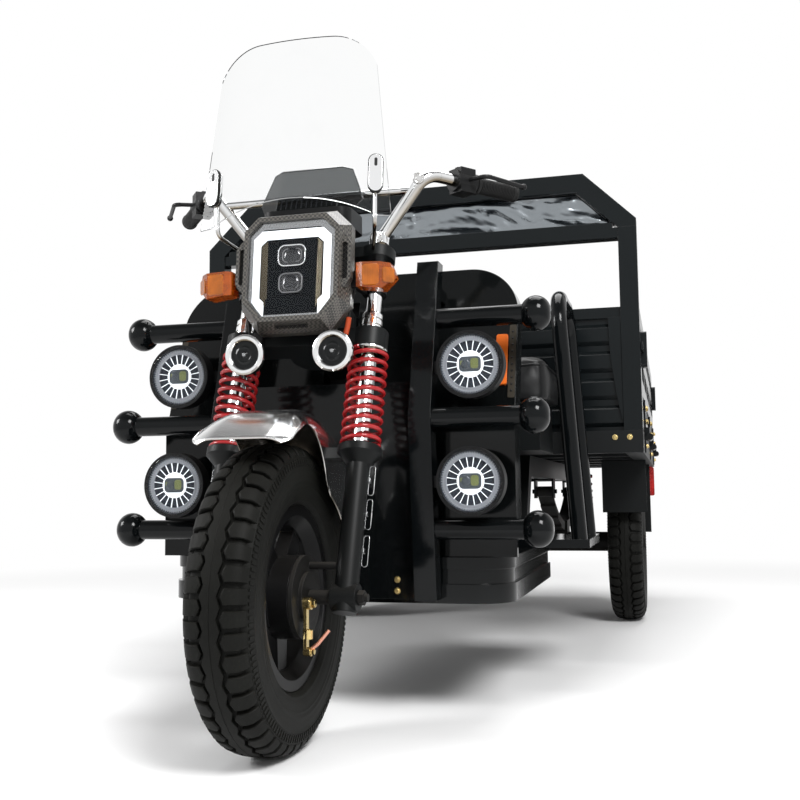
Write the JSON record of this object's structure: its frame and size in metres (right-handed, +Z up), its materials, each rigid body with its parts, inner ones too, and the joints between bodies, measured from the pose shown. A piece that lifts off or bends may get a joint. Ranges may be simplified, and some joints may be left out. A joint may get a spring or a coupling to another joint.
{
  "type": "electric cargo tricycle",
  "caption": "Electric cargo tricycle with a raked sprung fork, clear windscreen, tube bumper with round lamps, bench seat and a drop-sided cargo bed with a headboard rack.",
  "frame": {"origin": "on the ground, under the middle of the tricycle's overall box", "axes": "+Y to the rear along the vehicle, +X to the vehicle's left, +Z up"},
  "size_m": [1.32, 3.158, 1.3792],
  "materials": {
    "frame_black": "satin black paint",
    "gloss_black": "gloss black moulding",
    "bumper_black": "gloss black enamel",
    "bed_black": "gloss black paint on pressed steel",
    "plastic_black": "grained black plastic",
    "lamp_clear": "clear lens",
    "lamp_dark": "dark clear lens",
    "lamp_red": "red lens",
    "amber": "amber lens",
    "seat_vinyl": "black vinyl",
    "rack_vinyl": "glossy black coated cloth",
    "axle_iron": "black painted casting",
    "alloy": "cast alloy",
    "spring_red": "gloss red paint",
    "chrome": "bright plating",
    "zinc_gold": "yellow zinc plating",
    "carbon": "lacquered twill-weave pattern",
    "smoked": "smoked acrylic",
    "grip_rubber": "knurled rubber",
    "screen_clear": "clear acrylic",
    "tyre": "moulded rubber",
    "rim_black": "satin black paint on cast rim"
  },
  "bodies": {
    "chassis": {"frame_rails": "frame_black", "frame_members": "frame_black", "head_frame": "frame_black", "leg_shield": "gloss_black", "dash_panel": "plastic_black", "floor_pan": "gloss_black", "bumper_posts": "bumper_black", "bumper_tubes": "bumper_black", "led_bodies": "plastic_black", "led_lenses": "lamp_clear", "side_reflectors": "amber", "battery_box": "frame_black", "seat_cushion": "seat_vinyl", "seat_backrest": "seat_vinyl", "side_hoops": "bumper_black", "bed_floor": "bed_black", "bed_front_wall": "bed_black", "bed_posts": "bed_black", "rack_bars": "bed_black", "rack_sheet": "rack_vinyl", "bed_hinges": "frame_black", "rear_axle": "axle_iron", "drive_motor": "alloy", "leaf_springs": "axle_iron", "rear_shocks": "spring_red", "rear_mudguards": "plastic_black", "tail_lamps": "lamp_red"},
    "fork": {"lower_clamp": "frame_black", "upper_clamp": "frame_black", "fork_tubes": "chrome", "fork_lower_legs": "bumper_black", "fork_springs": "spring_red", "front_axle": "zinc_gold", "brake_plate": "axle_iron", "brake_arm": "zinc_gold", "front_mudguard": "chrome", "headlamp_housing": "carbon", "headlamp_lens": "lamp_dark", "headlamp_bracket": "plastic_black", "instrument_pod": "plastic_black", "deflector": "smoked", "turn_signals": "amber", "horns": "plastic_black", "handlebar": "chrome", "grips": "grip_rubber", "switch_pods": "plastic_black", "windscreen": "screen_clear", "screen_stays": "chrome"},
    "front_wheel": {"front_tyre": "tyre", "front_rim": "rim_black"},
    "rear_left_wheel": {"rear_left_tyre": "tyre", "rear_left_rim": "rim_black"},
    "rear_right_wheel": {"rear_right_tyre": "tyre", "rear_right_rim": "rim_black"},
    "left_side": {"left_gate": "bed_black"},
    "right_side": {"right_gate": "bed_black"},
    "tail": {"tailgate": "bed_black"}
  },
  "joints": [
    {"name": "steering", "type": "hinge", "parent": "chassis", "child": "fork", "pos_m": [0, -1.05855, 0.8439], "axis": [0, 0.3256, 0.9455], "range_deg": [-38, 38]},
    {"name": "front_wheel_spin", "type": "hinge", "parent": "fork", "child": "front_wheel", "pos_m": [0, -1.301, 0.278], "axis": [1, 0, 0], "continuous": true},
    {"name": "rear_left_spin", "type": "hinge", "parent": "chassis", "child": "rear_left_wheel", "pos_m": [0.545, 0.779, 0.278], "axis": [1, 0, 0], "continuous": true},
    {"name": "rear_right_spin", "type": "hinge", "parent": "chassis", "child": "rear_right_wheel", "pos_m": [-0.545, 0.779, 0.278], "axis": [1, 0, 0], "continuous": true},
    {"name": "left_drop", "type": "hinge", "parent": "chassis", "child": "left_side", "pos_m": [0.65, 0.649, 0.615], "axis": [0, 1, 0], "range_deg": [0, 170]},
    {"name": "right_drop", "type": "hinge", "parent": "chassis", "child": "right_side", "pos_m": [-0.65, 0.649, 0.615], "axis": [0, -1, 0], "range_deg": [0, 170]},
    {"name": "tail_drop", "type": "hinge", "parent": "chassis", "child": "tail", "pos_m": [0, 1.563, 0.615], "axis": [-1, 0, 0], "range_deg": [0, 170]}
  ]
}
